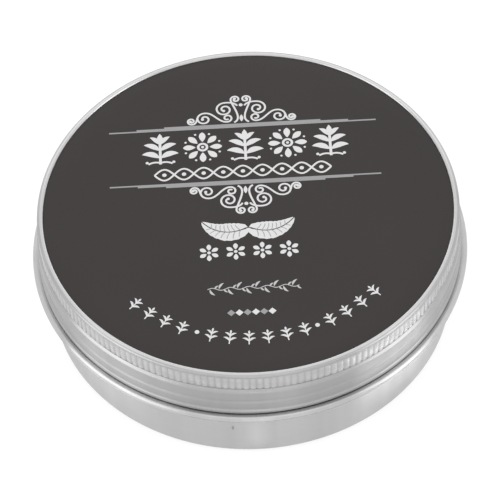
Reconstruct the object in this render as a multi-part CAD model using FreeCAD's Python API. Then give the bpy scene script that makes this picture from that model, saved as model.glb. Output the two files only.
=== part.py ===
import FreeCAD, Part
import math
import os

# Round screw-top aluminium tin with a puck of shaving soap in it, in millimetres.
# The origin is the centre of the resting face, +Z is up and -Y is the front.

# Driving dimensions.
HEIGHT = 25.0            # closed tin, from the table to the top of the lid's rim
BEAD_R = 41.5            # the widest point, the bead round the body
CUP_R = 38.8             # outside of the cup's wall and of its neck
LID_R = 40.1             # outside of the lid's plain skirt
LABEL_R = 38.5
LABEL_T = 0.13
BODY_SHEET = 0.35        # aluminium sheet of the body
LID_SHEET = 0.30         # aluminium sheet of the lid
RIM_RISE = 0.25          # the lid's rim above the label

# Screw thread, right hand.
PITCH = 2.4
FRONT_ANGLE = -90.0      # the front of the tin, in degrees about +Z from +X
LID_THREAD_Z = 17.85     # the lid's thread at the front
LID_THREAD_SPAN = (-210.0, 200.0)     # degrees from the front, anticlockwise from above
NECK_THREAD_SPAN = (-250.0, 140.0)
THREAD_FADE = 25.0       # degrees over which a thread rises out of its wall
THREAD_STEP = 10.0       # degrees between the sections of a thread
THREAD_SEAT = 0.15       # a thread's ridge is rooted this deep in its wall
THREAD_SUNK = 0.05       # its crest starts and ends this far below the wall's face

# Body.
PANEL_RISE = 0.45        # the base's middle stands this far above the table
PANEL_R = 35.6
FOOT_R = 36.3            # inner edge of the ring that the tin rests on
CORNER_R = 1.2           # outside radius between the base and the wall
BEAD_Z = 13.35           # middle of the bead's height
BEAD_ROUND = 1.0         # radius of the bead's nose
BEND_R = 0.35            # bends beside the bead
LIP_R = 0.5              # the mouth's inward curl
LIP_DEPTH = 0.9
NECK_THREAD_R = 39.35    # crest of the neck's thread

# Lid.
PANEL_EDGE_R = 38.65     # the flat panel ends here and climbs to the rim
RIM_INNER_R = 39.05
RIM_R = 39.85
RIM_ROUND = 0.45
RIM_GROOVE_R = 39.40     # bottom of the groove between the rim and the knurl
RIM_GROOVE_Z = 24.22
KNURL_ROOT_R = 39.55
KNURL_CREST_R = 39.75
KNURL_COUNT = 200
KNURL_Z = (21.35, 24.15)
KNURL_CORE_R = 39.45     # outside of the sheet behind the ribs
SHOULDER_Z = (20.7, 21.05)
HEM_R = 40.22            # the folded lower edge stands slightly proud of the skirt
HEM_INNER_R = 39.52
HEM_FOLD = 0.345         # outside radius of the fold
HEM_Z = 14.45            # lower edge of the lid
HEM_TOP_Z = 15.5
HEM_LEG_Z = 15.1         # where the folded-in edge of the sheet ends
LID_THREAD_R = 39.10     # crest of the lid's thread, inside the skirt
LID_GROOVE_DEPTH = 0.30  # groove that the same thread leaves outside the skirt

# Liner and soap.
LINER_R = 38.9
LINER_T = 1.0
SEAT_GAP = 0.05          # play above and below the liner
SOAP_GAP = 0.08          # the soap shrinks this far from the wall as it sets
SOAP_TOP_Z = 21.35
SOAP_EDGE_R = 1.2

LABEL_TOP_Z = HEIGHT - RIM_RISE
LID_TOP_Z = LABEL_TOP_Z - LABEL_T
LINER_TOP_Z = LID_TOP_Z - LID_SHEET - SEAT_GAP
MOUTH_Z = LINER_TOP_Z - LINER_T - SEAT_GAP
NECK_THREAD_Z = LID_THREAD_Z + PITCH / 2     # the two threads lie half a pitch apart

UP = FreeCAD.Vector(0, 0, 1)
ORIGIN = FreeCAD.Vector(0, 0, 0)


def in_section(r, z):
    """Point of the XZ half-plane that every turned section is drawn in."""
    return FreeCAD.Vector(r, 0, z)


def rounded_edges(points):
    """Straight runs through (r, z, radius) points, each inner corner rounded to its radius."""
    edges = []
    start = in_section(*points[0][:2])
    for before, corner, after in zip(points, points[1:], points[2:]):
        middle = in_section(*corner[:2])
        back = (in_section(*before[:2]) - middle).normalize()
        ahead = (in_section(*after[:2]) - middle).normalize()
        half = back.getAngle(ahead) / 2
        reach = corner[2] / math.tan(half)
        bisector = (back + ahead).normalize()
        centre = middle + bisector * (corner[2] / math.sin(half))
        arc_start = middle + back * reach
        arc_end = middle + ahead * reach
        if (arc_start - start).Length > 1e-6:
            edges.append(Part.makeLine(start, arc_start))
        edges.append(Part.Arc(arc_start, centre - bisector * corner[2], arc_end).toShape())
        start = arc_end
    end = in_section(*points[-1][:2])
    if (end - start).Length > 1e-6:
        edges.append(Part.makeLine(start, end))
    return edges


def turned(section):
    """Solid of a closed section turned round the tin's axis."""
    return section.revolve(ORIGIN, UP, 360)


def turned_sheet(points, thickness):
    """Sheet metal of one thickness, turned round the axis. The points are its outer face."""
    wire = Part.Wire(rounded_edges(points))
    section = wire.makeOffset2D(thickness, fill=True, openResult=True)
    return turned(section)


def turned_block(points):
    """Solid whose section runs through the points and back along the axis."""
    edges = rounded_edges(points)
    top = in_section(0, points[-1][1])
    bottom = in_section(0, points[0][1])
    edges.append(Part.makeLine(in_section(*points[-1][:2]), top))
    edges.append(Part.makeLine(top, bottom))
    edges.append(Part.makeLine(bottom, in_section(*points[0][:2])))
    return turned(Part.Face(Part.Wire(edges)))


def thread(root_r, crest_r, root_width, crest_width, front_z, span):
    """Helical ridge from root_r to crest_r that sinks into its wall at both ends.

    Each section is a trapezium in a radial plane. Its crest sinks to THREAD_SUNK below
    the root over THREAD_FADE, and front_z is the ridge's height at the front.
    """
    outward = math.copysign(1, crest_r - root_r)
    low_r = root_r - outward * THREAD_SUNK
    base_r = root_r - outward * THREAD_SEAT
    steps = round((span[1] - span[0]) / THREAD_STEP)
    sections = []
    for step in range(steps + 1):
        angle = span[0] + (span[1] - span[0]) * step / steps
        inside = min(angle - span[0], span[1] - angle) / THREAD_FADE
        tip_r = low_r + (crest_r - low_r) * math.sin(min(inside, 1.0) * math.pi / 2)
        z = front_z + PITCH * angle / 360
        corners = [(base_r, -root_width / 2), (base_r, root_width / 2),
                   (tip_r, crest_width / 2), (tip_r, -crest_width / 2)]
        ring = [in_section(r, z + dz) for r, dz in corners]
        wire = Part.makePolygon(ring + ring[:1])
        wire.rotate(ORIGIN, UP, FRONT_ANGLE + angle)
        sections.append(wire)
    return Part.makeLoft(sections, True, False)


def knurl_ring():
    """Ring of rounded upright ribs round the lid, each one an arc between two roots."""
    pitch = 2 * math.pi / KNURL_COUNT
    low, high = KNURL_Z

    def at(radius, turn):
        return FreeCAD.Vector(radius * math.cos(turn), radius * math.sin(turn), low)

    ribs = []
    for rib in range(KNURL_COUNT):
        turn = rib * pitch
        arc = Part.Arc(at(KNURL_ROOT_R, turn), at(KNURL_CREST_R, turn + pitch / 2),
                       at(KNURL_ROOT_R, turn + pitch))
        ribs.append(arc.toShape())
    core = Part.Wire(Part.makeCircle(KNURL_CORE_R - LID_SHEET / 2, FreeCAD.Vector(0, 0, low)))
    ring = Part.makeFace([Part.Wire(ribs), core], "Part::FaceMakerBullseye")
    return ring.extrude(UP * (high - low))


def tin_body():
    """Drawn cup: recessed base, wall, rolled bead, threaded neck and curled mouth."""
    bead_low = BEAD_Z - BEAD_ROUND
    bead_high = BEAD_Z + BEAD_ROUND
    sheet = turned_sheet([
        (0, PANEL_RISE, 0),
        (PANEL_R, PANEL_RISE, 0.5),
        (FOOT_R, 0, 0.5),
        (CUP_R, 0, CORNER_R),
        (CUP_R, bead_low, BEND_R),
        (BEAD_R, bead_low, BEAD_ROUND),
        (BEAD_R, bead_high, BEAD_ROUND),
        (CUP_R, bead_high, BEND_R),
        (CUP_R, MOUTH_Z, LIP_R),
        (CUP_R - 2 * LIP_R, MOUTH_Z, LIP_R),
        (CUP_R - 2 * LIP_R, MOUTH_Z - LIP_DEPTH, 0),
    ], BODY_SHEET)
    ridge = thread(CUP_R, NECK_THREAD_R, 1.3, 0.4, NECK_THREAD_Z, NECK_THREAD_SPAN)
    return sheet.fuse(ridge)


def lid_shell():
    """Pressed cap: rim round the label, knurl, skirt with its rolled thread, folded hem."""
    sheet = turned_sheet([
        (0, LID_TOP_Z, 0),
        (PANEL_EDGE_R, LID_TOP_Z, 0.3),
        (RIM_INNER_R, HEIGHT, RIM_ROUND),
        (RIM_R, HEIGHT, RIM_ROUND),
        (RIM_R, RIM_GROOVE_Z + 0.2, 0.1),
        (RIM_GROOVE_R, RIM_GROOVE_Z, 0.1),
        (KNURL_CORE_R, RIM_GROOVE_Z - 0.22, 0.1),
        (KNURL_CORE_R, SHOULDER_Z[1], 0.2),
        (LID_R, SHOULDER_Z[0], 0.4),
        (LID_R, HEM_TOP_Z, 0.4),
        (HEM_R, HEM_TOP_Z - 0.3, 0.4),
        (HEM_R, HEM_Z, HEM_FOLD),
        (HEM_INNER_R, HEM_Z, HEM_FOLD),
        (HEM_INNER_R, HEM_LEG_Z, 0),
    ], -LID_SHEET)
    ridge = thread(LID_R - LID_SHEET, LID_THREAD_R, 1.5, 0.45, LID_THREAD_Z, LID_THREAD_SPAN)
    groove = thread(LID_R, LID_R - LID_GROOVE_DEPTH, 1.0, 0.3, LID_THREAD_Z, LID_THREAD_SPAN)
    return sheet.fuse([knurl_ring(), ridge]).cut(groove)


def lid_liner():
    """Flat foam wad that seals the mouth under the lid."""
    return Part.makeCylinder(LINER_R, LINER_T, in_section(0, LINER_TOP_Z - LINER_T))


def lid_label():
    """Printed disc stuck to the lid's top inside the rim."""
    return Part.makeCylinder(LABEL_R, LABEL_T, in_section(0, LID_TOP_Z))


def soap_puck():
    """Soap poured into the cup, keyed into the hollow bead and slightly shrunk from the wall."""
    floor_z = PANEL_RISE + BODY_SHEET
    wall_r = CUP_R - BODY_SHEET - SOAP_GAP
    key_r = BEAD_R - BODY_SHEET - SOAP_GAP
    key_half = BEAD_ROUND - BODY_SHEET - SOAP_GAP
    return turned_block([
        (PANEL_R - 0.6, floor_z, 0),
        (wall_r, floor_z, CORNER_R),
        (wall_r, BEAD_Z - key_half, BEND_R),
        (key_r, BEAD_Z - key_half, key_half),
        (key_r, BEAD_Z + key_half, key_half),
        (wall_r, BEAD_Z + key_half, BEND_R),
        (wall_r, SOAP_TOP_Z, SOAP_EDGE_R),
        (wall_r - 2 * SOAP_EDGE_R, SOAP_TOP_Z, 0),
    ])


PIECES = [tin_body, soap_puck, lid_liner, lid_shell, lid_label]

os.makedirs("parts", exist_ok=True)
for make in PIECES:
    shape = make()
    box = shape.BoundBox
    print(make.__name__, "valid", shape.isValid(), "solids", len(shape.Solids),
          "volume", round(shape.Volume, 1), "mm3, z", round(box.ZMin, 3), "to", round(box.ZMax, 3))
    shape.exportStep(os.path.join("parts", make.__name__ + ".step"))
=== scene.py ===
import math

import bpy
import numpy as np
from mathutils import Matrix, Vector


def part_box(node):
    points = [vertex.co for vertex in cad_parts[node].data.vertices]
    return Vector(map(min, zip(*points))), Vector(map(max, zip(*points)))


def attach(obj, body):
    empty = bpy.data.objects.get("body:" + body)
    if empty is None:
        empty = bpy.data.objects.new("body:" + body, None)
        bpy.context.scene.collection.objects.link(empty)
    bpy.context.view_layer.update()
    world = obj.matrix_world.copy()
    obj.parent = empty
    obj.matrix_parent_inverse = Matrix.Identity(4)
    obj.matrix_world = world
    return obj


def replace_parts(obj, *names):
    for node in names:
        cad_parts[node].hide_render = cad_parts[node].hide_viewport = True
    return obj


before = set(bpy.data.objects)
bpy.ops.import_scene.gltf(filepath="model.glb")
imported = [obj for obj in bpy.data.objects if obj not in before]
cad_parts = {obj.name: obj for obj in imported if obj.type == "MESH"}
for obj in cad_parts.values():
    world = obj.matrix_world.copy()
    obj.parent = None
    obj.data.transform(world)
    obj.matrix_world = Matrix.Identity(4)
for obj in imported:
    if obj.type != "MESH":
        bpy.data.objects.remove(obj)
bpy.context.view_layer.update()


# ---- tin body -------------------------------------------------------------------------------
# A cup drawn from one sheet of aluminium. Its panel is pressed up a little so that it rests on a
# ring, a hollow bead is rolled out round it where the lid stops, and the neck above the bead has
# a rolled thread and a mouth curled inwards. Sizes are in millimetres.

MM = 0.001
BODY_SHEET = 0.35
CUP_R = 38.8
PANEL_R = 35.6
PANEL_RISE = 0.45
FOOT_R = 36.3
BEAD_Z = 13.6
BEAD_ROUND = 0.75
BEAD_SLOPE = 0.15                    # the bead's top falls this much to the neck
LIP_R = 0.5
LIP_DEPTH = 0.9
PITCH = 2.4
THREAD_FADE = 25.0                   # degrees
NECK_THREAD_Z = 19.05                # height of the neck's thread at the front
NECK_THREAD_SPAN = (-250.0, 140.0)   # degrees from the front
NECK_THREAD_HEIGHT = 0.5
NECK_THREAD_WIDTH = 1.5
BODY_COLUMNS = 360

body_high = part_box("tin_body")[1]
BEAD_R = body_high.x / MM
MOUTH_Z = body_high.z / MM


def rounded(corners, arc_steps=6):
    """Rows of (r, z) along a line through corners given as (r, z, radius, steps).

    Each inner corner becomes a circular arc tangent to both of its runs: it starts
    radius / tan(half the corner's angle) before the corner. The straight run that leads to a
    corner is cut into that corner's number of equal steps.
    """
    rows = [np.array([corners[0][:2]], float)]
    for before, corner, after in zip(corners, corners[1:], corners[2:]):
        here = np.array(corner[:2], float)
        back = np.array(before[:2]) - here
        ahead = np.array(after[:2]) - here
        back = back / np.linalg.norm(back)
        ahead = ahead / np.linalg.norm(ahead)
        half = math.acos(np.clip(back @ ahead, -1, 1)) / 2
        start = here + back * corner[2] / math.tan(half)
        middle = here + (back + ahead) / np.linalg.norm(back + ahead) * corner[2] / math.sin(half)
        turn = math.copysign(math.pi - 2 * half, back[1] * ahead[0] - back[0] * ahead[1])
        angles = np.linspace(0, turn, arc_steps + 1)[:, None]
        arm = start - middle
        swung = np.cos(angles) * arm + np.sin(angles) * np.array([-arm[1], arm[0]])
        shares = np.linspace(0, 1, corner[3] + 1)[1:-1, None]
        rows += [rows[-1][-1:] + shares * (start - rows[-1][-1:]), middle + swung]
    last = corners[-1]
    shares = np.linspace(0, 1, last[3] + 1)[1:, None]
    rows.append(rows[-1][-1:] + shares * (np.array(last[:2]) - rows[-1][-1:]))
    line = np.concatenate(rows)
    apart = np.linalg.norm(np.diff(line, axis=0), axis=1) > 1e-4
    return line[np.concatenate([[True], apart])]


def mesh_piece(name, points, faces, smooth=True):
    """Mesh object from an (n, 3) array in mm and a list of (count, corners) index arrays."""
    corners = np.concatenate([group.ravel() for group in faces])
    sizes = np.concatenate([np.full(len(group), group.shape[1]) for group in faces])
    mesh = bpy.data.meshes.new(name)
    mesh.vertices.add(len(points))
    mesh.vertices.foreach_set("co", (points * MM).astype(np.float32).ravel())
    mesh.loops.add(len(corners))
    mesh.loops.foreach_set("vertex_index", corners.astype(np.int32))
    mesh.polygons.add(len(sizes))
    mesh.polygons.foreach_set("loop_start", (np.cumsum(sizes) - sizes).astype(np.int32))
    mesh.polygons.foreach_set("use_smooth", np.full(len(sizes), smooth))
    mesh.update(calc_edges=True)
    mesh.validate()
    piece = bpy.data.objects.new(name, mesh)
    bpy.context.scene.collection.objects.link(piece)
    return piece


def lathe(name, bands):
    """Closed surface of revolution. A band is (rows of (r, z), columns, shift or None).

    Point j of a ring stands at angle t = 2 pi j / columns from the front, anticlockwise from
    above: x = R sin t, y = -R cos t, with R = r + shift(t, z). The first and last rows lie on
    the axis and become poles. Where two bands meet, each edge of the coarser ring takes as
    many edges of the finer one as it spans.
    """
    rings = []
    for rows, columns, shift in bands:
        t = np.arange(columns) * 2 * math.pi / columns
        for r, z in rows:
            if r < 1e-6:
                rings.append(np.array([[0.0, 0.0, z]]))
                continue
            radius = r + (shift(t, z) if shift else 0 * t)
            rings.append(np.stack([radius * np.sin(t), -radius * np.cos(t), z + 0 * t], axis=1))
    starts = np.cumsum([0] + [len(ring) for ring in rings])
    faces = []
    for low, high, low_start, high_start in zip(rings, rings[1:], starts, starts[1:]):
        smaller, larger = sorted((len(low), len(high)))
        count = larger if smaller == 1 else smaller
        j = np.arange(count)[:, None]
        low_step, high_step = len(low) // count, len(high) // count
        below = low_start + (j * low_step + np.arange(low_step + 1)) % len(low)
        above = high_start + (j * high_step + np.arange(high_step, -1, -1)) % len(high)
        faces.append(np.concatenate([below, above], axis=1))
    return mesh_piece(name, np.concatenate(rings), faces)


def thread(t, z, front_z, span, height, width):
    """Rise of a helical ridge at angle t from the front and height z.

    Across, the ridge is a raised cosine of the given width about the helix
    front_z + pitch * t / (2 pi). A sine fades it in and out over the ends of its span.
    """
    rise = np.zeros_like(t)
    for turn in (-2, -1, 0, 1):
        angle = np.degrees(t) + 360 * turn
        inside = np.clip(np.minimum(angle - span[0], span[1] - angle) / THREAD_FADE, 0, 1)
        across = np.clip(np.abs(z - front_z - PITCH * angle / 360) / (width / 2), 0, 1)
        ridge = (0.5 + 0.5 * np.cos(math.pi * across)) * np.sin(inside * math.pi / 2)
        rise = np.maximum(rise, ridge)
    return height * rise


def neck_ridge(t, z):
    """The neck's thread stands out of its wall."""
    return thread(t, z, NECK_THREAD_Z, NECK_THREAD_SPAN, NECK_THREAD_HEIGHT, NECK_THREAD_WIDTH)


class Signal:
    """A shader value. Python's operators on it add Math nodes."""

    def __init__(self, tree, socket):
        self.tree = tree
        self.socket = socket

    def math(self, operation, *terms):
        node = self.tree.nodes.new("ShaderNodeMath")
        node.operation = operation
        for slot, term in zip(node.inputs, terms):
            if isinstance(term, Signal):
                self.tree.links.new(term.socket, slot)
            else:
                slot.default_value = term
        return Signal(self.tree, node.outputs[0])

    def __add__(self, other):
        return self.math("ADD", self, other)

    __radd__ = __add__

    def __sub__(self, other):
        return self.math("SUBTRACT", self, other)

    def __rsub__(self, other):
        return self.math("SUBTRACT", other, self)

    def __mul__(self, other):
        return self.math("MULTIPLY", self, other)

    __rmul__ = __mul__

    def __truediv__(self, other):
        return self.math("DIVIDE", self, other)

    def __gt__(self, other):
        return self.math("GREATER_THAN", self, other)

    def __lt__(self, other):
        return self.math("LESS_THAN", self, other)

    def between(self, low, high):
        """1 inside the limits and 0 outside them."""
        return (self > low) * (self < high)


class Finish:
    """A material whose Principled shader takes constants by name and signals by feed()."""

    def __init__(self, name, **constants):
        self.material = bpy.data.materials.new(name)
        self.material.use_nodes = True
        self.tree = self.material.node_tree
        self.shader = self.tree.nodes["Principled BSDF"]
        for socket, value in constants.items():
            self.shader.inputs[socket.replace("_", " ")].default_value = value
        self.place = self.node("ShaderNodeTexCoord", output="Object")
        split = self.node("ShaderNodeSeparateXYZ", inputs={"Vector": self.place}, output=None)
        self.x, self.y, self.z = (Signal(self.tree, socket) for socket in split.outputs)

    def node(self, kind, settings=None, inputs=None, output=0):
        """Any node: its settings come first, then its sockets' values or links."""
        node = self.tree.nodes.new(kind)
        for setting, value in (settings or {}).items():
            setattr(node, setting, value)
        for socket, value in (inputs or {}).items():
            if isinstance(value, Signal):
                self.tree.links.new(value.socket, node.inputs[socket])
            else:
                node.inputs[socket].default_value = value
        return node if output is None else Signal(self.tree, node.outputs[output])

    def noise(self, scale, detail=2.0, at=None):
        """Noise from 0 to 1 about 0.5, its scale per metre."""
        inputs = {"Vector": at or self.place, "Scale": scale, "Detail": detail}
        return self.node("ShaderNodeTexNoise", inputs=inputs)

    def point(self, x, y, z):
        """Vector of three signals or numbers."""
        return self.node("ShaderNodeCombineXYZ", inputs={"X": x, "Y": y, "Z": z})

    def from_axis(self):
        """Distance from the tin's axis, in mm: the root of x squared plus y squared."""
        square = self.x * self.x + self.y * self.y
        return square.math("SQRT", square) / MM

    def mix(self, share, first, second):
        """Colour between two colours, each a signal or its red, green and blue."""
        first, second = (c if isinstance(c, Signal) else (*c, 1) for c in (first, second))
        inputs = {"Factor": share, 6: first, 7: second}
        return self.node("ShaderNodeMix", {"data_type": "RGBA"}, inputs, output=2)

    def bump(self, height, distance, strength):
        """Normal of a height signal that stands for so many metres."""
        inputs = {"Height": height, "Distance": distance, "Strength": strength}
        return self.node("ShaderNodeBump", inputs=inputs)

    def feed(self, **signals):
        """The finished material, with each signal linked to the shader's socket of that name."""
        for socket, signal in signals.items():
            self.tree.links.new(signal.socket, self.shader.inputs[socket.replace("_", " ")])
        return self.material


TOOL_RINGS = 5.2                     # per mm
DRAW_MARKS = 190.0                   # per metre
GRAIN_DEPTH = 0.000006               # metres
DARKER, LIGHTER = 0.86, 1.12         # the sheet's two shades, as shares of its colour


def drawn_aluminium(name, colour, gloss, mark, mark_colour):
    """Satin aluminium sheet: rings left by the tools, upright draw marks, mottling, fine dust.

    The gloss takes the finish and gives its roughness. The mark takes the finish and its radius
    signal, in mm, and gives the share of a second colour.
    """
    metal = Finish(name, Metallic=1.0, Anisotropic=0.9, Anisotropic_Rotation=0.25)
    radius = metal.from_axis()
    ring_place = metal.point(radius * TOOL_RINGS, metal.z * (TOOL_RINGS / MM), 0.5)
    rings = metal.noise(1.0, 3.0, ring_place)
    mottle = metal.noise(160.0, 4.0)
    dust = metal.noise(2600.0, 1.0)
    drawn = metal.noise(1.0, 2.0, metal.point(metal.x * DRAW_MARKS, metal.y * DRAW_MARKS, 0.5))
    rough = (mottle - 0.5) * 0.14 + (rings - 0.5) * 0.10 + gloss(metal)
    shade = (mottle - 0.5) * 0.35 + (rings - 0.5) * 0.3 + (drawn - 0.5) * 1.2 + 0.5
    darker, lighter = (tuple(share * c for c in colour) for share in (DARKER, LIGHTER))
    tint = metal.mix(mark(metal, radius), metal.mix(shade, darker, lighter), mark_colour)
    surface = metal.bump(rings * 0.7 + dust * 0.3, GRAIN_DEPTH, 0.6)
    return metal.feed(Base_Color=tint, Roughness=rough, Normal=surface)


bead_low = BEAD_Z - BEAD_ROUND
bead_high = BEAD_Z + BEAD_ROUND
BEAD_ROUGHNESS = 0.25
WALL_ROUGHER = 0.06


def cup_gloss(metal):
    """Roughness: the rolled bead and neck are smoother than the drawn wall."""
    return (metal.z < bead_low * MM) * WALL_ROUGHER + BEAD_ROUGHNESS


NICK_X, NICK_Z = -4.7, 7.7           # a grey speck on the wall, near the front
NICK_R = 0.22                        # half its width; it is three times as high as wide
NICK_SHARE = 0.4
# painted shade: a dark colour laid in the crevice over the bead, under the lid's hem, and in the
# corner under the bead
CREVICE_SHADE_R = 40.2                        # how far out the painted shade lies on the bead, under the lid's hem
SHADE_OVER_BEAD, SHADE_UNDER_BEAD = 0.65, 0.3


def nick_and_painted_shade(metal, radius):
    """Share of dark: a nick, an upright ellipse on the front wall, and painted shade in the
    crevice over the bead and in the corner under it.
    """
    across = (metal.x / MM - NICK_X) / NICK_R
    up = (metal.z / MM - NICK_Z) / (3 * NICK_R)
    nick = (across * across + up * up < 1.0) * (metal.y < 0.0)
    height = metal.z / MM
    # painted shade in the crevice over the bead and in the corner under it
    over = height.between(bead_high - BEAD_SLOPE - 0.1, bead_high + 0.3)
    over = over * radius.between(CUP_R - 0.1, CREVICE_SHADE_R)
    under = height.between(bead_low - 0.35, bead_low + 0.1)
    under = under * radius.between(CUP_R - 0.1, CUP_R + 0.5)
    return nick * NICK_SHARE + over * SHADE_OVER_BEAD + under * SHADE_UNDER_BEAD


lip_r = CUP_R - 2 * LIP_R
inner_r = CUP_R - BODY_SHEET
hollow = BEAD_ROUND - BODY_SHEET     # half the height of the room inside the bead
body_outside = rounded([
    (0, PANEL_RISE, 0, 0),
    (PANEL_R, PANEL_RISE, 0.8, 10),
    (FOOT_R, 0, 0.6, 1),
    (CUP_R, 0, 1.2, 2),
    (CUP_R, bead_low, 0.35, 10),
    (BEAD_R, bead_low, BEAD_ROUND, 2),
    (BEAD_R, bead_high, BEAD_ROUND, 1),
    (CUP_R, bead_high - BEAD_SLOPE, 0.35, 4),
    (CUP_R, MOUTH_Z, LIP_R, 64),
    (lip_r, MOUTH_Z, LIP_R, 1),
    (lip_r, MOUTH_Z - LIP_DEPTH, 0, 2),
])
body_inside = rounded([
    (lip_r + BODY_SHEET, MOUTH_Z - LIP_DEPTH, 0, 0),
    (lip_r + BODY_SHEET, MOUTH_Z - BODY_SHEET, 0.1, 2),
    (inner_r, MOUTH_Z - BODY_SHEET, 0.1, 1),
    (inner_r, BEAD_Z + hollow, 0.3, 6),
    (BEAD_R - BODY_SHEET, BEAD_Z + hollow, hollow, 1),
    (BEAD_R - BODY_SHEET, BEAD_Z - hollow, hollow, 1),
    (inner_r, BEAD_Z - hollow, 0.3, 1),
    (inner_r, BODY_SHEET, 0.85, 6),
    (FOOT_R, BODY_SHEET, 0.3, 1),
    (PANEL_R, PANEL_RISE + BODY_SHEET, 0.3, 1),
    (0, PANEL_RISE + BODY_SHEET, 0, 8),
], arc_steps=4)
tin_body = lathe("tin_body_sheet", [
    (body_outside, BODY_COLUMNS, neck_ridge),
    (body_inside, BODY_COLUMNS, None),
])
# the dark second colour paints the nick and the shade over and under the bead
tin_body.data.materials.append(drawn_aluminium(
    "body_aluminium", (0.495, 0.495, 0.495), cup_gloss, nick_and_painted_shade, (0.05, 0.05, 0.05)))
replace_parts(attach(tin_body, "body"), "tin_body")


# ---- soap puck ------------------------------------------------------------------------------
# A hundred grams of soap poured hot into the cup. It fills the hollow bead, which keys it in,
# and sets with a shallow dish in its top where it shrank from the middle.

SOAP_GAP = 0.08
SKIN_DEPTH = 0.8
SKIN_WAVE = 0.06
PORE_SIZE = 0.16                     # share of a cell
soap_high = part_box("soap_puck")[1]
SOAP_TOP_Z = soap_high.z / MM
soap_r = inner_r - SOAP_GAP
key = hollow - SOAP_GAP              # half the height of the soap's edge inside the bead
key_r = BEAD_R - BODY_SHEET - SOAP_GAP


def soap_wave(t, z):
    """The edge of the soap wanders a little from a circle, as a skin that shrank."""
    near_top = np.clip((z - SOAP_TOP_Z + SKIN_DEPTH) / SKIN_DEPTH, 0, 1)
    return -near_top * SKIN_WAVE * (1 + np.sin(5 * t + 0.7) * np.cos(3 * t))


soap_line = rounded([
    (0, PANEL_RISE + BODY_SHEET, 0, 0),
    (soap_r, PANEL_RISE + BODY_SHEET, 1.2, 4),
    (soap_r, BEAD_Z - key, 0.35, 4),
    (key_r, BEAD_Z - key, key, 1),
    (key_r, BEAD_Z + key, key, 1),
    (soap_r, BEAD_Z + key, 0.35, 1),
    (soap_r, SOAP_TOP_Z, 0.5, 4),
    (soap_r - 2.0, SOAP_TOP_Z - 0.25, 2.0, 1),
    (22, SOAP_TOP_Z - 0.6, 20.0, 6),
    (0, SOAP_TOP_Z - 0.7, 0, 10),
])
soap = lathe("poured_soap", [(soap_line, 240, soap_wave)])
soap_finish = Finish("poured_soap", Roughness=0.42, Subsurface_Weight=0.25, Subsurface_Scale=0.004,
                     Coat_Weight=0.15, Coat_Roughness=0.3)
cloud = soap_finish.noise(70.0, 5.0)
pores = soap_finish.node(
    "ShaderNodeTexVoronoi", inputs={"Vector": soap_finish.place, "Scale": 900.0})
pits = 1.0 - (pores > PORE_SIZE)
soap_colour = soap_finish.mix(cloud, (0.56, 0.62, 0.52), (0.70, 0.72, 0.63))
swirl = soap_finish.noise(45.0, 2.0)
soap.data.materials.append(soap_finish.feed(
    Base_Color=soap_colour,
    Roughness=(cloud - 0.5) * 0.3 + 0.42,
    Normal=soap_finish.bump(swirl * 2.0 + cloud * 0.5 - pits * 0.4, 0.00025, 0.7),
))
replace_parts(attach(soap, "body"), "soap_puck")


# ---- lid liner ------------------------------------------------------------------------------
# A disc punched from white polyethylene foam, loose in the lid. The tin's mouth has pressed a
# shallow ring into its underside.

SEAT_DEPTH = 0.1                     # how far the mouth has pressed into it
liner_low, liner_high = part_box("lid_liner")
LINER_R = liner_high.x / MM
liner_bottom, liner_top = liner_low.z / MM, liner_high.z / MM
seat_r = CUP_R - LIP_R
liner_line = rounded([
    (0, liner_bottom, 0, 0),
    (seat_r - 0.6, liner_bottom, 0.3, 8),
    (seat_r - 0.3, liner_bottom + SEAT_DEPTH, 0.3, 1),
    (seat_r + 0.2, liner_bottom + SEAT_DEPTH, 0.2, 1),
    (seat_r + 0.35, liner_bottom, 0.1, 1),
    (LINER_R, liner_bottom, 0.1, 1),
    (LINER_R, liner_top, 0.1, 2),
    (0, liner_top, 0, 8),
], arc_steps=3)
liner = lathe("foam_liner", [(liner_line, 240, None)])
foam = Finish("liner_foam", Roughness=0.7, Sheen_Weight=0.1)
cells = foam.node("ShaderNodeTexVoronoi", inputs={"Vector": foam.place, "Scale": 2600.0})
felt = foam.noise(500.0, 3.0)
foam_colour = foam.mix(felt, (0.70, 0.70, 0.69), (0.80, 0.80, 0.79))
liner.data.materials.append(foam.feed(
    Base_Color=foam_colour,
    Roughness=felt * 0.2 + 0.6,
    Normal=foam.bump(cells, 0.00008, 0.8),
))
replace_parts(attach(liner, "liner"), "lid_liner")


# ---- lid shell ------------------------------------------------------------------------------
# A cap pressed from one sheet of aluminium: a rim round the sunk panel, which slopes outwards to a
# band of fine ribs for the fingers, a shoulder, and a skirt with the thread rolled into it. The
# lower edge is folded inwards into a hem.

LID_SHEET = 0.30
LID_R = 40.1
PANEL_EDGE_R = 38.52
RIM_INNER_ROUND = 0.32
CREST_R = 39.0                       # from here the rim slopes outwards
CREST_ROUND = 0.5
CREST_FALL = 0.16                    # the height of that slope
RIM_R = 39.68
RIM_ROUND = 0.3
RIB_COUNT = 200
RIB_ROOT_R = 39.56
RIB_HEIGHT = 0.2
RIB_POWER = 0.7
RIB_UNEVEN = 0.22
RIB_TOP_Z = 24.45
RIB_TOP_ROUND = 0.7
RIB_FOOT_Z = 21.1
RIB_FOOT_ROUND = 0.3
SHOULDER_Z = 20.62
HEM_R = 40.34
HEM_INNER_R = 39.52
HEM_TOP_Z = 15.5
HEM_LEG_Z = 15.1
HEM_FOLD = 0.25
LID_THREAD_Z = 17.85
LID_THREAD_SPAN = (-210.0, 200.0)    # degrees from the front
LID_GROOVE_DEPTH = 0.36
LID_GROOVE_WIDTH = 1.1
LID_RIDGE_HEIGHT = 0.66
LID_RIDGE_WIDTH = 1.6
LID_COLUMNS = 320
RIB_COLUMNS = LID_COLUMNS * 5        # eight to a rib

lid_low, lid_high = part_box("lid_shell")
label_low, label_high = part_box("lid_label")
RIM_Z = lid_high.z / MM
HEM_Z = lid_low.z / MM
PANEL_Z = label_low.z / MM


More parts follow.
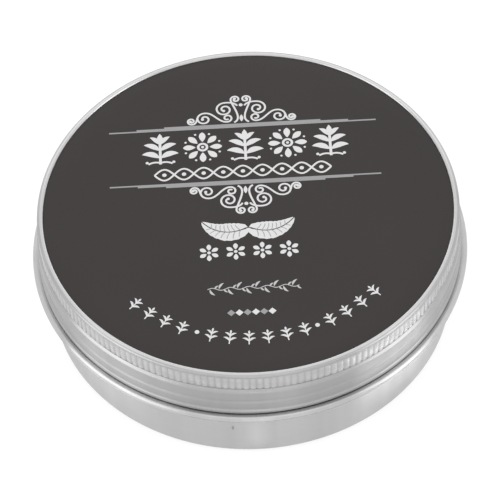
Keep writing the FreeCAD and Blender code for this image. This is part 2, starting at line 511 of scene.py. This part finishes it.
def ribs(t, z):
    """Ribs round the lid: across each, the height is a half sine to a power below one.

    Two slow waves make them uneven, and a quarter of an ellipse rounds off each end.
    """
    across = np.abs(np.sin(RIB_COUNT * t / 2)) ** RIB_POWER
    waves = np.sin(37 * t + 1.9 * z) * np.sin(23 * t - 0.8 * z + 1)
    uneven = 1 - RIB_UNEVEN + RIB_UNEVEN * waves
    end = np.clip(min((RIB_TOP_Z - z) / RIB_TOP_ROUND, (z - RIB_FOOT_Z) / RIB_FOOT_ROUND), 0, 1)
    return RIB_HEIGHT * across * uneven * math.sqrt(1 - (1 - end) ** 2)


def lid_groove(t, z):
    """The thread shows as a shallow groove outside the skirt."""
    return -thread(t, z, LID_THREAD_Z, LID_THREAD_SPAN, LID_GROOVE_DEPTH, LID_GROOVE_WIDTH)


def lid_ridge(t, z):
    """The same thread stands into the lid on the skirt's inner face."""
    return -thread(t, z, LID_THREAD_Z, LID_THREAD_SPAN, LID_RIDGE_HEIGHT, LID_RIDGE_WIDTH)


fold_r = HEM_INNER_R + LID_SHEET
lid_inner_r = LID_R - LID_SHEET
rib_inner_r = RIB_ROOT_R - LID_SHEET - 0.05
lid_inside = rounded([
    (0, PANEL_Z - LID_SHEET, 0, 0),
    (PANEL_EDGE_R + LID_SHEET, PANEL_Z - LID_SHEET, 0.1, 8),
    (PANEL_EDGE_R + LID_SHEET, RIM_Z - LID_SHEET, 0.05, 1),
    (rib_inner_r, RIM_Z - LID_SHEET, 0.15, 1),
    (rib_inner_r, RIB_FOOT_Z, 0.3, 3),
    (lid_inner_r, SHOULDER_Z - 0.1, 0.3, 2),
    (lid_inner_r, HEM_TOP_Z, 0.3, 24),
    (HEM_R - LID_SHEET, HEM_TOP_Z - 0.3, 0.3, 1),
    (HEM_R - LID_SHEET, HEM_Z + LID_SHEET, 0.04, 2),
    (fold_r, HEM_Z + LID_SHEET, 0.04, 1),
    (fold_r, HEM_LEG_Z, 0, 2),
], arc_steps=4)
lid_hem = rounded([
    (HEM_INNER_R, HEM_LEG_Z, 0, 0),
    (HEM_INNER_R, HEM_Z, HEM_FOLD, 1),
    (HEM_R, HEM_Z, HEM_FOLD, 1),
    (HEM_R, HEM_TOP_Z - 0.3, 0.4, 1),
    (LID_R, HEM_TOP_Z, 0.4, 1),
    (LID_R, SHOULDER_Z, 0.5, 32),
    (RIB_ROOT_R, RIB_FOOT_Z - 0.12, 0.1, 2),
    (RIB_ROOT_R, RIB_FOOT_Z - 0.02, 0, 1),
])
lid_band = rounded([
    (RIB_ROOT_R, RIB_FOOT_Z, 0, 0),
    (RIB_ROOT_R, RIB_TOP_Z, 0, 16),
])
lid_rim = rounded([
    (RIB_ROOT_R, RIB_TOP_Z + 0.01, 0, 0),
    (RIM_R, RIB_TOP_Z + 0.06, 0, 1),
    (RIM_R, RIM_Z - CREST_FALL, RIM_ROUND, 1),
    (CREST_R, RIM_Z, CREST_ROUND, 2),
    (PANEL_EDGE_R, RIM_Z, RIM_INNER_ROUND, 1),
    (PANEL_EDGE_R, PANEL_Z, 0.02, 1),
    (0, PANEL_Z, 0, 8),
])
lid_shell = lathe("lid_sheet", [
    (lid_inside, LID_COLUMNS, lid_ridge),
    (lid_hem, LID_COLUMNS, lid_groove),
    (lid_band, RIB_COLUMNS, ribs),
    (lid_rim, LID_COLUMNS, None),
])


RIM_ROUGHNESS = 0.28
SKIRT_ROUGHER = 0.12


def brushed_skirt(metal):
    """Roughness: the plain skirt is duller than the rolled rim, ribs, shoulder and hem."""
    skirt = metal.z.between(HEM_TOP_Z * MM, (SHOULDER_Z - 0.3) * MM)
    return skirt * SKIRT_ROUGHER + RIM_ROUGHNESS


def burnish_and_painted_highlight(metal, radius):
    """Share of lighter metal, partly burnish from wear and partly painted highlight: it grows from
    the ribs' roots to their crests, and is full on the rim.
    """
    height = (radius - RIB_ROOT_R) / RIB_HEIGHT
    band = metal.z.between(RIB_FOOT_Z * MM, RIB_TOP_Z * MM) * (radius < LID_R - 0.2)
    rim = (metal.z > (PANEL_Z + 0.1) * MM) * (radius < CREST_R + 0.2)
    return height.math("MAXIMUM", height, 0.0) * band + rim


# the lighter second colour on the rib crests and rim is partly burnish from wear and partly
# painted highlight
lid_shell.data.materials.append(drawn_aluminium(
    "lid_aluminium", (0.405, 0.405, 0.405), brushed_skirt, burnish_and_painted_highlight, (0.53, 0.53, 0.53)))
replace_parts(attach(lid_shell, "lid"), "lid_shell")


# ---- lid label ------------------------------------------------------------------------------
# A round self-adhesive label, cut from paper, printed solid dark grey and laminated matt. It is
# stuck to the panel inside the rim.

LABEL_R = label_high.x / MM
LABEL_Z = label_high.z / MM
label_line = rounded([
    (0, PANEL_Z, 0, 0),
    (LABEL_R, PANEL_Z, 0.02, 4),
    (LABEL_R, LABEL_Z, 0.05, 1),
    (0, LABEL_Z, 0, 12),
], arc_steps=3)
label = lathe("round_label", [(label_line, LID_COLUMNS, None)])
paper = Finish("label_print", Specular_IOR_Level=0.3)
fibres = paper.noise(1500.0, 3.0)
wash = paper.noise(35.0, 2.0)
ink = paper.mix(wash, (0.0165, 0.0135, 0.0125), (0.022, 0.018, 0.017))
label.data.materials.append(paper.feed(
    Base_Color=ink,
    Roughness=fibres * 0.12 + 0.5,
    Normal=paper.bump(fibres, 0.00001, 0.5),
))
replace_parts(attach(label, "lid"), "lid_label")


# ---- label print ----------------------------------------------------------------------------
# White and grey ink laid on the dark label. Every mark is a stroke: a centre line with a half
# width at each of its points, printed as a thin closed slab that lies in the paper.

INK_RISE = 0.012
INK_SINK = 0.02
INK_STEP = 0.0004                    # crossing strokes differ by this much in height
INK_LEVELS = 12
GREY_RISE = INK_RISE + 0.006         # the grey ink lies over the white
THIN_INK = 0.92                      # its colour where it lies thin
PRINT_TURN = 0.45                    # degrees; the print is a little crooked on the label
PRINT_SHIFT = (-0.15, 0.0)


def bent(start, end, bow, count=14):
    """Points of a parabola from start to end, which bows to its left by bow times its length."""
    s = np.linspace(0, 1, count)[:, None]
    start, run = np.array(start, float), np.array(end, float) - np.array(start, float)
    return start + s * run + 4 * bow * s * (1 - s) * np.array([-run[1], run[0]])


def spiral(centre, radius, start, turn, inner=0.25, count=44):
    """Points from the outside of a spiral inwards, its angles in degrees.

    The radius falls evenly with the angle, to the share inner of its first value.
    """
    s = np.linspace(0, 1, count)
    angle = np.radians(start + turn * s)
    r = radius * (1 - (1 - inner) * s)
    return np.stack([centre[0] + r * np.cos(angle), centre[1] + r * np.sin(angle)], axis=1)


def arrow(x, y, heading):
    """Two points that end at (x, y), run in the heading's direction, listed end first."""
    a = math.radians(heading)
    return np.array([[x, y], [x - 0.1 * math.cos(a), y - 0.1 * math.sin(a)]])


def joined(first, second, count=26):
    """One line out of the first spiral, listed outside first, and into the second.

    The cubic between them leaves and meets both along their own directions.
    """
    out = first[::-1]
    leave, meet = out[-1] - out[-2], second[1] - second[0]
    reach = np.linalg.norm(second[0] - out[-1])
    leave, meet = (v / np.linalg.norm(v) * reach for v in (leave, meet))
    s = np.linspace(0, 1, count)[1:-1, None]
    cubic = ((2 * s**3 - 3 * s**2 + 1) * out[-1] + (s**3 - 2 * s**2 + s) * leave
             + (3 * s**2 - 2 * s**3) * second[0] + (s**3 - s**2) * meet)
    return np.concatenate([out, cubic, second])


def even(line, half):
    """Stroke of one width."""
    return np.array(line, float), np.full(len(line), half)


def swelling(line, half, power=1.0, lean=1.0):
    """Stroke that swells from nothing to half and back as a sine of its length.

    The lean moves its widest place: below 1 towards the start.
    """
    s = np.linspace(0, 1, len(line)) ** lean
    return np.array(line, float), 0.02 + half * np.sin(math.pi * s) ** power


def dot(x, y, radius):
    """Filled circle: half chords along a diameter."""
    a = np.linspace(0, math.pi, 15)
    line = np.stack([x - radius * np.cos(a), y + 0 * a], axis=1)
    return line, 0.005 + radius * np.sin(a)


def lozenge(x, y, half):
    """Filled square that stands on a corner."""
    return np.array([[x - half, y], [x, y], [x + half, y]]), np.array([0.02, half, 0.02])


def ring(x, y, radius, half):
    """Circle drawn with a line of one width."""
    a = np.linspace(0, 2 * math.pi, 33)
    return even(np.stack([x + radius * np.sin(a), y + radius * np.cos(a)], axis=1), half)


def ripple(half, humps, height, count):
    """Points of a sine wave from -half to half that has so many humps."""
    x = np.linspace(-half, half, count)
    return np.stack([x, height * np.sin((x + half) * math.pi * humps / (2 * half))], axis=1)


def placed(strokes, x, y, turn=0.0):
    """The strokes turned by degrees and moved to (x, y)."""
    a = math.radians(turn)
    across = np.array([[math.cos(a), math.sin(a)], [-math.sin(a), math.cos(a)]])
    return [(line @ across + (x, y), half) for line, half in strokes]


def mirrored(strokes):
    """The strokes and their mirror images, left for right."""
    return strokes + [(line * (-1, 1), half) for line, half in strokes]


def printed(name, strokes, colour, rise=INK_RISE):
    """One mesh of thin four-sided slabs, from the strokes in the label's own plane.

    At each point of its line a slab reaches the half width to either side, square to the line,
    and from the ink's sink below the paper to its rise above.
    """
    points, faces, start = [], [], 0
    for number, (line, half) in enumerate(strokes):
        along = np.gradient(line, axis=0)
        along /= np.linalg.norm(along, axis=1)[:, None]
        left = np.stack([-along[:, 1], along[:, 0]], axis=1) * half[:, None]
        low = np.full((len(line), 1), LABEL_Z - INK_SINK)
        high = low + INK_SINK + rise + INK_STEP * (number % INK_LEVELS)
        rows = [np.hstack([line + left, low]), np.hstack([line - left, low]),
                np.hstack([line - left, high]), np.hstack([line + left, high])]
        points.append(np.stack(rows, axis=1).reshape(-1, 3))
        i = start + 4 * np.arange(len(line) - 1)[:, None]
        side = np.arange(4)
        onward = (side + 1) % 4
        quads = np.stack([i + side, i + 4 + side, i + 4 + onward, i + onward], axis=-1)
        end = start + 4 * (len(line) - 1)
        caps = np.array([start + side, end + side[::-1]])
        faces += [quads.reshape(-1, 4), caps]
        start += 4 * len(line)
    points = np.concatenate(points)
    a = math.radians(PRINT_TURN)
    spin = np.array([[math.cos(a), math.sin(a)], [-math.sin(a), math.cos(a)]])
    points[:, :2] = points[:, :2] @ spin + PRINT_SHIFT
    piece = mesh_piece(name, points, faces, smooth=False)
    ink = Finish(name, Specular_IOR_Level=0.3)
    speckle = ink.noise(900.0, 3.0)
    thin = tuple(THIN_INK * c for c in colour)
    piece.data.materials.append(ink.feed(
        Base_Color=ink.mix(speckle, thin, colour),
        Roughness=speckle * 0.1 + 0.45,
    ))
    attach(piece, "lid")


# scrollwork above and below the title, in mm from the middle of the rule it stands on
SCROLL_HALF = 0.185
scroll_lines = [
    joined(arrow(1.35, 0.2, 150), spiral((1.0, 6.1), 0.95, -25, 440)),
    joined(arrow(0.75, 4.5, 62), spiral((3.2, 3.6), 1.75, 95, -520, 0.22)),
    joined(spiral((2.75, 1.35), 1.0, -75, -420, 0.3), spiral((7.2, 1.35), 1.55, 100, -470, 0.22)),
    joined(arrow(8.55, 1.6, -80), spiral((9.7, 0.95), 0.85, -110, 450)),
]
scrolls = mirrored([even(line, SCROLL_HALF) for line in scroll_lines])
scrolls += mirrored([dot(line[-1][0], line[-1][1], 0.3) for line in scroll_lines])
scrolls += [swelling(bent((0, 0.3), (0, 2.1), 0), 0.35), dot(0, 4.6, 0.38)]

RULE_TOP = 20.2
RULE_FOOT = 5.95
RULE_HALVES = (25.75, 20.45, 15.1)
RULE_STEP = 0.34

rules = []
for step, rule_half in enumerate(RULE_HALVES):
    offset = step * RULE_STEP
    rules += [even([(-rule_half, y), (rule_half, y)], RULE_STEP / 2)
              for y in (RULE_TOP - 0.3 + offset, RULE_FOOT + 0.3 - offset)]

# mint sprig: a stem, three pairs of leaves and a leaf on top, 7 mm across
sprig = mirrored([
    swelling(bent((0.25, -2.2), (3.5, -1.2), 0.16), 0.62, 0.8, 0.9),
    swelling(bent((0.25, -0.3), (3.1, 1.2), 0.14), 0.58, 0.8, 0.9),
    swelling(bent((0.2, 1.3), (1.9, 3.1), 0.12), 0.46, 0.8, 0.9),
    even(bent((0.1, -3.4), (2.3, -3.7), 0.12), 0.2),
    dot(2.55, -3.3, 0.3),
])
sprig += [even(bent((0, -3.8), (0, 2.0), 0), 0.26), swelling(bent((0, 1.6), (0, 3.95), 0), 0.5)]

# eight-petalled flower with a ring of dots, as large as the sprig
flower = [ring(0, 0, 0.85, 0.24), dot(0, 0, 0.3)]
for k in range(8):
    petal = [swelling(bent((1.35, 0), (3.75, 0), 0, 12), 0.62, 0.7, 1.25)]
    bead = [dot(3.5, 0, 0.22)]
    flower += placed(petal, 0, 0, 45 * k) + placed(bead, 0, 0, 45 * k + 22.5)

# small rosette of six petals
rosette = [dot(0, 0, 0.34)]
for k in range(6):
    petal = [swelling(bent((0.55, 0), (1.95, 0), 0, 10), 0.42, 0.7, 1.2)]
    rosette += placed(petal, 0, 0, 60 * k + 30)

# thin twig for the lower edge, three millimetres high
twig = mirrored([
    swelling(bent((0.05, -0.9), (1.2, -0.1), 0.2, 8), 0.2),
    swelling(bent((0.05, 0.1), (1.05, 0.95), 0.2, 8), 0.18),
])
twig += [even(bent((0, -1.5), (0, 1.0), 0, 3), 0.11),
         swelling(bent((0, 0.8), (0, 1.6), 0, 8), 0.18)]

# the scrolls stand on the upper rule and hang from the lower one; the title's row lies between
hanging = [(line * (1, -1), half) for line, half in scrolls]
white = placed(scrolls, -0.1, RULE_TOP + 0.75) + placed(hanging, -0.1, RULE_FOOT - 0.75)
TITLE_PITCH = 8.15
TITLE_Y = 15.2
for k in range(5):
    white += placed(flower if k % 2 else sprig, 0.3 + (k - 2) * TITLE_PITCH, TITLE_Y)

# two interlaced waves with a dot in each eye, under the title
BORDER_X, BORDER_Y = -0.4, 8.65
BORDER_HALF = 16.8
EYES = 9
waves = [even(ripple(BORDER_HALF, EYES, height, 12 * EYES + 1), 0.19) for height in (1.35, -1.35)]
white += placed(waves, BORDER_X, BORDER_Y)
for k in range(EYES):
    white.append(dot(BORDER_X + (2 * k + 1 - EYES) * BORDER_HALF / EYES, BORDER_Y, 0.42))

# a pair of mint leaves, each cut in two by its vein
LEAF_POINTS = 30
leaf_spine = bent((0.1, -5.2), (8.6, -3.4), -0.2, LEAF_POINTS)
s = np.linspace(0, 1, LEAF_POINTS)
teeth = 1 - 0.10 * ((9 * s) % 1)
breadth = 0.03 + 1.0 * np.sin(math.pi * s ** 0.68) ** 0.75 * teeth
spine_way = np.gradient(leaf_spine, axis=0)
spine_way /= np.linalg.norm(spine_way, axis=1)[:, None]
spine_left = np.stack([-spine_way[:, 1], spine_way[:, 0]], axis=1)
VEIN_HALF = 0.09
leaf = [(leaf_spine + side * spine_left * (breadth + VEIN_HALF)[:, None], breadth)
        for side in (1, -1)]
white += mirrored(leaf)
side_veins = []
for k in range(4, 25, 3):
    for side in (1, -1):
        tip = leaf_spine[k + 2] + side * spine_left[k + 2] * 1.7 * breadth[k + 2]
        side_veins.append(even(bent(leaf_spine[k], tip, -0.08 * side, 6), 0.07))

# four rosettes under the leaves
for k in range(4):
    white += placed(rosette, -0.1 + (k - 1.5) * 4.95, -10.8)

# lozenges, and the twigs that follow the label's lower edge
grey = rules + mirrored(side_veins)
for k in range(6):
    (white if k % 2 else grey).append(lozenge(-0.25 + (k - 2.5) * 1.5, -25.0, 0.72))

ARC_X = 0.4
ARC_R = 30.8
ARC_PITCH = 6.4                      # degrees


def on_arc(angle):
    """Point of the circle that follows the label's edge, its angle in degrees from +x."""
    a = math.radians(angle)
    return ARC_X + ARC_R * math.cos(a), ARC_R * math.sin(a)


for first, count in ((-135.0, 4), (-105.4, 6), (-64.0, 4)):
    for a in first + ARC_PITCH * np.arange(count):
        white += placed(twig, *on_arc(a), a + 90)
white += [dot(*on_arc(a), 0.42) for a in (-110.4, -69.0)]

# fine vine between the flowers and the lozenges, its leaves turned up and down by turns
FINE_HALF = 8.4
FINE_TURNS = 10
fine = [even(ripple(FINE_HALF, FINE_TURNS, 0.28, 101), 0.08)]
for k in range(FINE_TURNS):
    side = 1 if k % 2 else -1
    x = -FINE_HALF + (k + 0.5) * 2 * FINE_HALF / FINE_TURNS
    fine += [swelling(bent((x - 0.4, 0), (x + 0.5, 1.35 * side), 0.15 * side, 8), 0.2),
             swelling(bent((x + 0.5, 0), (x + 1.2, -0.8 * side), -0.15 * side, 8), 0.15)]
fine = placed(fine, 0.3, -19.4)

printed("label_white_ink", white, (0.56, 0.56, 0.56))
printed("label_fine_ink", fine, (0.42, 0.42, 0.42))
printed("label_grey_ink", grey, (0.25, 0.25, 0.255), GREY_RISE)


# ---- camera, floor and light ----------------------------------------------------------------
# A long lens looks down on a white light table, in a white room. A strong soft light stands on
# the right and a weaker one on the left, with a higher one over each for the lid's rim, and
# painted pools of light glow brighter in the table's emission beside the tin. Weak lights stand
# overhead, in front and behind.

DISTANCE = 0.45066                   # metres
ELEVATION = math.radians(50.303)
DROP = math.radians(1.0566)          # the lens points this far below the label's centre
ROLL = math.radians(-2.773)
LENS = 172.8                         # mm

aim = Vector((0, 0, label_high.z))
eye = aim + DISTANCE * Vector((0, -math.cos(ELEVATION), math.sin(ELEVATION)))
camera = bpy.data.objects.new("camera", bpy.data.cameras.new("camera"))
camera.data.lens = LENS
camera.data.clip_start = 0.01
camera.matrix_world = (Matrix.Translation(eye)
                       @ Matrix.Rotation(math.pi / 2 - ELEVATION - DROP, 4, "X")
                       @ Matrix.Rotation(ROLL, 4, "Z"))
bpy.context.scene.collection.objects.link(camera)
bpy.context.scene.camera = camera
bpy.context.scene.view_settings.view_transform = "Standard"

FLOOR_HALF = 3.0                     # metres
TABLE_GLOW = 0.74
POOL_GLOW = 5.0                      # in shares of the table's
POOLS_FROM, POOLS_TO = 46.0, 52.0    # mm from the axis
ROOM_LIGHT = 1.12
corners = np.array([[-1, -1, 0], [1, -1, 0], [1, 1, 0], [-1, 1, 0]]) * FLOOR_HALF / MM
floor = mesh_piece("floor", corners, [np.array([[0, 1, 2, 3]])])
floor_finish = Finish("light_table", Roughness=0.8, Specular_IOR_Level=0.2,
                      Emission_Color=(1, 1, 1, 1), Emission_Strength=TABLE_GLOW)


def pool(x, y, radius, share):
    """Share of a disc of painted light, glowing in the table's emission, in mm. Its edge fades
    over half its radius.
    """
    along, across = floor_finish.x / MM - x, floor_finish.y / MM - y
    apart = along * along + across * across
    inside = (radius * 1.25 - apart.math("SQRT", apart)) / (radius * 0.5)
    return inside.math("MAXIMUM", inside.math("MINIMUM", inside, 1.0), 0.0) * share


grain = floor_finish.noise(30.0)
near_tin = floor_finish.from_axis().between(POOLS_FROM, POOLS_TO)
# painted light: brighter glow in the table's emission beside the tin, in place of pools of lamp
# light
pools = (pool(43, -35, 15, 0.8) + pool(-45, -34, 16, 0.2)) * near_tin + pool(0, -44, 3, 0.09)
floor.data.materials.append(floor_finish.feed(
    Base_Color=floor_finish.mix(grain, (0.26, 0.26, 0.26), (0.28, 0.28, 0.28)),
    Emission_Color=floor_finish.mix(pools, (1, 1, 1), (POOL_GLOW,) * 3),
))


def softbox(name, azimuth, elevation, distance, width, height, radiance):
    """Rectangular area light that faces the tin, its azimuth in degrees from the front.

    Its distance and sizes are in metres. An area light of radiance L and area A gives
    pi * L * A watts.
    """
    lamp = bpy.data.lights.new(name, "AREA")
    lamp.shape = "RECTANGLE"
    lamp.size, lamp.size_y = width, height
    lamp.energy = math.pi * radiance * width * height
    holder = bpy.data.objects.new(name, lamp)
    holder.matrix_world = (Matrix.Rotation(math.radians(azimuth), 4, "Z")
                           @ Matrix.Rotation(math.radians(90 - elevation), 4, "X")
                           @ Matrix.Translation((0, 0, distance)))
    bpy.context.scene.collection.objects.link(holder)


softbox("overhead", 0, 74, 1.1, 0.7, 0.5, 0.4)
softbox("front", 0, 20, 1.3, 0.25, 0.6, 0.4)
softbox("back", 180, 30, 1.3, 1.6, 0.6, 0.65)
softbox("right", 68, 26, 1.1, 0.5, 0.8, 1.4)
softbox("left", -66, 28, 1.1, 0.9, 0.9, 0.95)
softbox("high_left", -85, 54, 1.1, 0.5, 0.5, 0.8)
softbox("high_right", 85, 54, 1.1, 0.5, 0.5, 0.8)
world = bpy.data.worlds.new("studio")
world.use_nodes = True
room = world.node_tree.nodes["Background"].inputs
room["Color"].default_value = (1, 1, 1, 1)
room["Strength"].default_value = ROOM_LIGHT
bpy.context.scene.world = world
